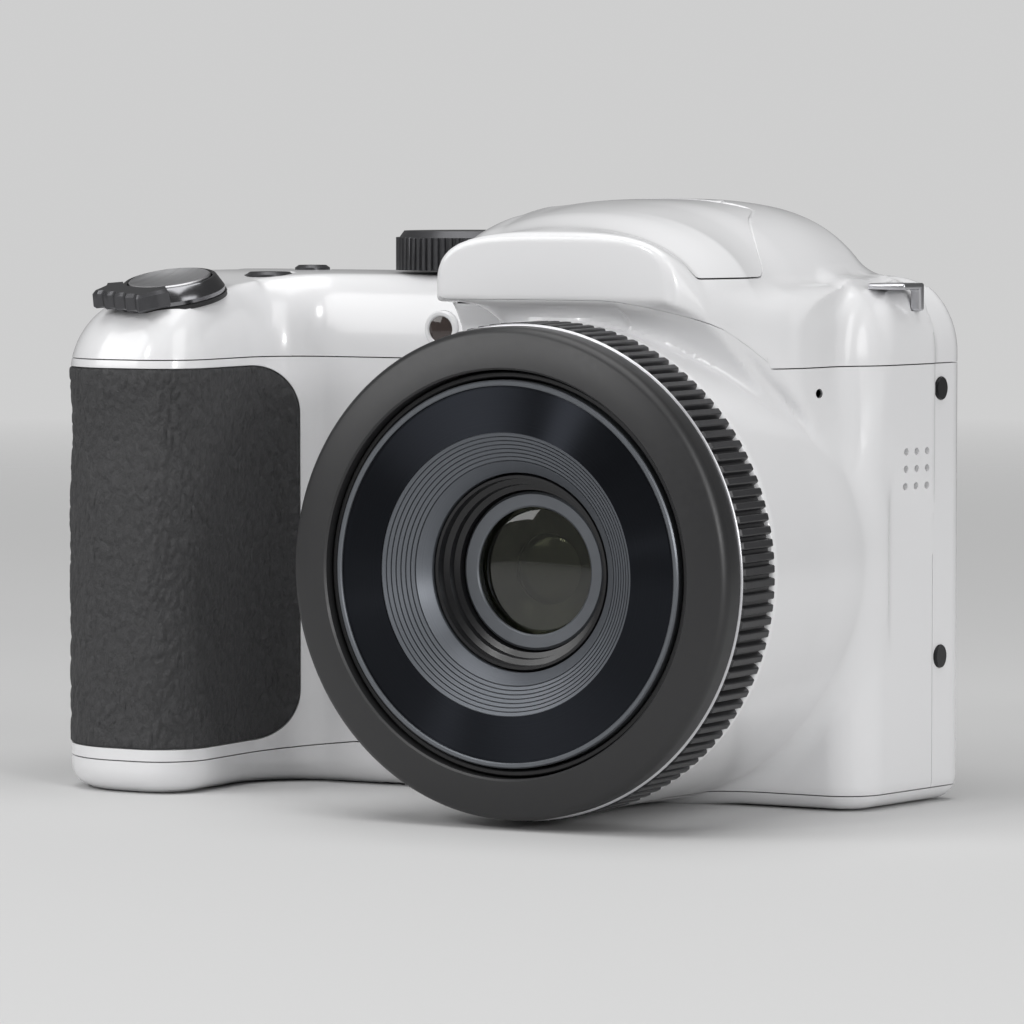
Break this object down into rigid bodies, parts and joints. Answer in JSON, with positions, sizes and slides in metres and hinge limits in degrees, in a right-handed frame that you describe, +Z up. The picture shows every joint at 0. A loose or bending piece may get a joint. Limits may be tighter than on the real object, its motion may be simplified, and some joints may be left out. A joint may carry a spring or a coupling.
{
  "type": "bridge camera",
  "caption": "Bridge camera with a telescoping zoom lens, a deep rubber grip, a pop-up flash, a mode dial, a rear display, a battery door and a tripod socket.",
  "frame": {"origin": "centre of the mouth of the tripod socket, in the plane of the underside", "axes": "+X along the width, away from the grip; -Y the way the lens looks; +Z up"},
  "size_m": [0.114, 0.0639, 0.0786],
  "materials": {
    "white_shell": "smooth glossy white moulded plastic",
    "rubber_black": "leather-grained black rubber",
    "ring_grey": "satin dark grey",
    "bright_trim": "bright narrow band",
    "knurl_grey": "dark anodised, ribbed",
    "matt_black": "matt black",
    "barrel_grey": "satin grey anodised",
    "spun_dark": "spun, with circular machining marks",
    "lens_glass": "coated optical glass",
    "clear_plastic": "clear ribbed plastic",
    "tube_glass": "clear glass tube",
    "display_black": "dark clear window",
    "dark_metal": "dark satin lacquered metal",
    "dark_chrome": "dark polished metal",
    "steel": "plain steel",
    "black_steel": "blackened steel",
    "board_green": "green laminate",
    "contact_metal": "plated contact",
    "cell_sleeve": "plain printed sleeve without marks",
    "lamp_amber": "dark clear lens",
    "record_red": "red plastic",
    "grey_plastic": "dark grey plastic",
    "flap_white": "white plastic"
  },
  "bodies": {
    "camera": {"front_cover": "white_shell", "rear_cover": "white_shell", "top_cover": "white_shell", "bottom_cover": "white_shell", "grip_rubber": "rubber_black", "thumb_rest": "rubber_black", "lens_ring": "ring_grey", "trim_ring": "bright_trim", "knurl_ring": "knurl_grey", "lens_base": "matt_black", "rear_lens": "lens_glass", "image_sensor": "board_green", "zoom_motor": "steel", "main_frame": "steel", "main_board": "board_green", "flash_tray": "matt_black", "flash_hinge_pin": "steel", "flash_capacitor": "grey_plastic", "dial_spindle": "steel", "shutter_seat": "matt_black", "door_hinge_pin": "steel", "battery_box": "matt_black", "battery_cells": "cell_sleeve", "battery_contacts": "contact_metal", "display_panel": "matt_black", "display_window": "display_black", "strap_lugs": "steel", "focus_lamp": "lamp_amber", "speaker": "matt_black", "microphone": "matt_black", "usb_port": "steel", "tripod_bush": "steel", "cover_screws": "black_steel"},
    "first_barrel": {"outer_barrel": "matt_black"},
    "second_barrel": {"inner_barrel": "barrel_grey", "front_plate": "spun_dark", "grooved_ring": "spun_dark", "lens_cell": "matt_black", "retaining_ring": "barrel_grey", "front_lens": "lens_glass"},
    "flash": {"flash_lid": "white_shell", "flash_head": "matt_black", "flash_window": "clear_plastic", "flash_tube": "tube_glass"},
    "dial": {"mode_dial": "dark_metal"},
    "shutter": {"shutter_button": "dark_chrome"},
    "lever": {"zoom_lever": "dark_chrome"},
    "door": {"battery_door": "white_shell"},
    "latch": {"door_latch": "grey_plastic"},
    "port_flap": {"usb_flap": "flap_white"},
    "power": {"power_button": "dark_metal"},
    "burst": {"burst_button": "dark_metal"},
    "record": {"record_button": "record_red"},
    "menu": {"menu_button": "grey_plastic"},
    "play": {"play_button": "grey_plastic"},
    "info": {"info_button": "grey_plastic"},
    "delete": {"delete_button": "grey_plastic"},
    "direction_pad": {"direction_pad": "grey_plastic"},
    "ok": {"ok_button": "grey_plastic"}
  },
  "joints": [
    {"name": "first_barrel_slide", "type": "slide", "parent": "camera", "child": "first_barrel", "axis": [0, -1, 0], "range_m": [0, 0.022]},
    {"name": "second_barrel_slide", "type": "slide", "parent": "first_barrel", "child": "second_barrel", "axis": [0, -1, 0], "range_m": [0, 0.02]},
    {"name": "flash_hinge", "type": "hinge", "parent": "camera", "child": "flash", "pos_m": [0.022, -0.0066, 0.0774], "axis": [1, 0, 0], "range_deg": [-50, 0]},
    {"name": "mode_dial_spin", "type": "hinge", "parent": "camera", "child": "dial", "pos_m": [-0.0115, 0, 0.0686], "axis": [0, 0, 1], "continuous": true},
    {"name": "shutter_press", "type": "slide", "parent": "camera", "child": "shutter", "axis": [0, 0.225, -0.9744], "range_m": [0, 0.0008], "stiffness_N_per_m": 800},
    {"name": "zoom_lever_turn", "type": "hinge", "parent": "camera", "child": "lever", "pos_m": [-0.042, -0.026, 0.0663], "axis": [0, -0.225, 0.9744], "range_deg": [-18, 18], "stiffness_Nm_per_rad": 0.03},
    {"name": "battery_door_hinge", "type": "hinge", "parent": "camera", "child": "door", "pos_m": [-0.019, 0, 0.0009], "axis": [0, 1, 0], "range_deg": [-95, 0]},
    {"name": "door_latch_slide", "type": "slide", "parent": "door", "child": "latch", "axis": [1, 0, 0], "range_m": [0, 0.002]},
    {"name": "usb_flap_hinge", "type": "hinge", "parent": "camera", "child": "port_flap", "pos_m": [-0.05645, 0.00855, 0.028], "axis": [0, 0, -1], "range_deg": [0, 90]},
    {"name": "power_press", "type": "slide", "parent": "camera", "child": "power", "axis": [0, 0, -1], "range_m": [0, 0.0004], "stiffness_N_per_m": 600},
    {"name": "burst_press", "type": "slide", "parent": "camera", "child": "burst", "axis": [0, 0, -1], "range_m": [0, 0.0004], "stiffness_N_per_m": 600},
    {"name": "record_press", "type": "slide", "parent": "camera", "child": "record", "axis": [0, -1, 0], "range_m": [0, 0.0004], "stiffness_N_per_m": 600},
    {"name": "menu_press", "type": "slide", "parent": "camera", "child": "menu", "axis": [0, -1, 0], "range_m": [0, 0.0004], "stiffness_N_per_m": 600},
    {"name": "play_press", "type": "slide", "parent": "camera", "child": "play", "axis": [0, -1, 0], "range_m": [0, 0.0004], "stiffness_N_per_m": 600},
    {"name": "info_press", "type": "slide", "parent": "camera", "child": "info", "axis": [0, -1, 0], "range_m": [0, 0.0004], "stiffness_N_per_m": 600},
    {"name": "delete_press", "type": "slide", "parent": "camera", "child": "delete", "axis": [0, -1, 0], "range_m": [0, 0.0004], "stiffness_N_per_m": 600},
    {"name": "ok_press", "type": "slide", "parent": "camera", "child": "ok", "axis": [0, -1, 0], "range_m": [0, 0.0004], "stiffness_N_per_m": 600},
    {"name": "direction_pad_press", "type": "slide", "parent": "camera", "child": "direction_pad", "axis": [0, -1, 0], "range_m": [0, 0.0004], "stiffness_N_per_m": 600}
  ],
  "couplings": [
    {"joint": "second_barrel_slide", "follows": "first_barrel_slide", "ratio": 0.90909}
  ]
}
